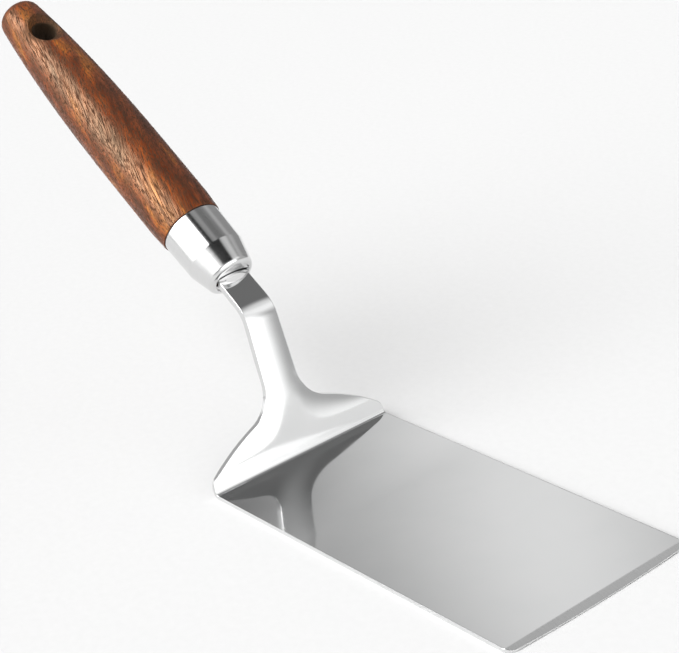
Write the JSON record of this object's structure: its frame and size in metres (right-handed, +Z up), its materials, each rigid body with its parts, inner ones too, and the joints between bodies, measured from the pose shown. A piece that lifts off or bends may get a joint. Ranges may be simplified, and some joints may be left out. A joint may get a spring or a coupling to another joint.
{
  "type": "grill spatula",
  "caption": "Steel grill turner: flat bevelled blade, flared heel, cranked neck, steel ferrule and turned wooden handle with a hanging hole.",
  "frame": {"origin": "centre of the blade's flat underside", "axes": "+X towards the blade's leading edge, +Y across the blade, +Z up; the handle rises towards -X"},
  "size_m": [0.3095, 0.08, 0.1556],
  "materials": {
    "polished_steel": "mirror-polished stainless steel",
    "satin_steel": "satin-turned stainless steel",
    "plain_steel": "as-drawn steel rod",
    "hardwood": "oiled reddish hardwood, open pores",
    "epoxy": "dark epoxy"
  },
  "bodies": {
    "root": {"blade_and_neck": "polished_steel", "neck_boss": "satin_steel", "tang_rod": "plain_steel", "tang_adhesive": "epoxy", "ferrule": "satin_steel", "ferrule_adhesive": "epoxy", "handle_grip": "hardwood"}
  },
  "joints": []
}
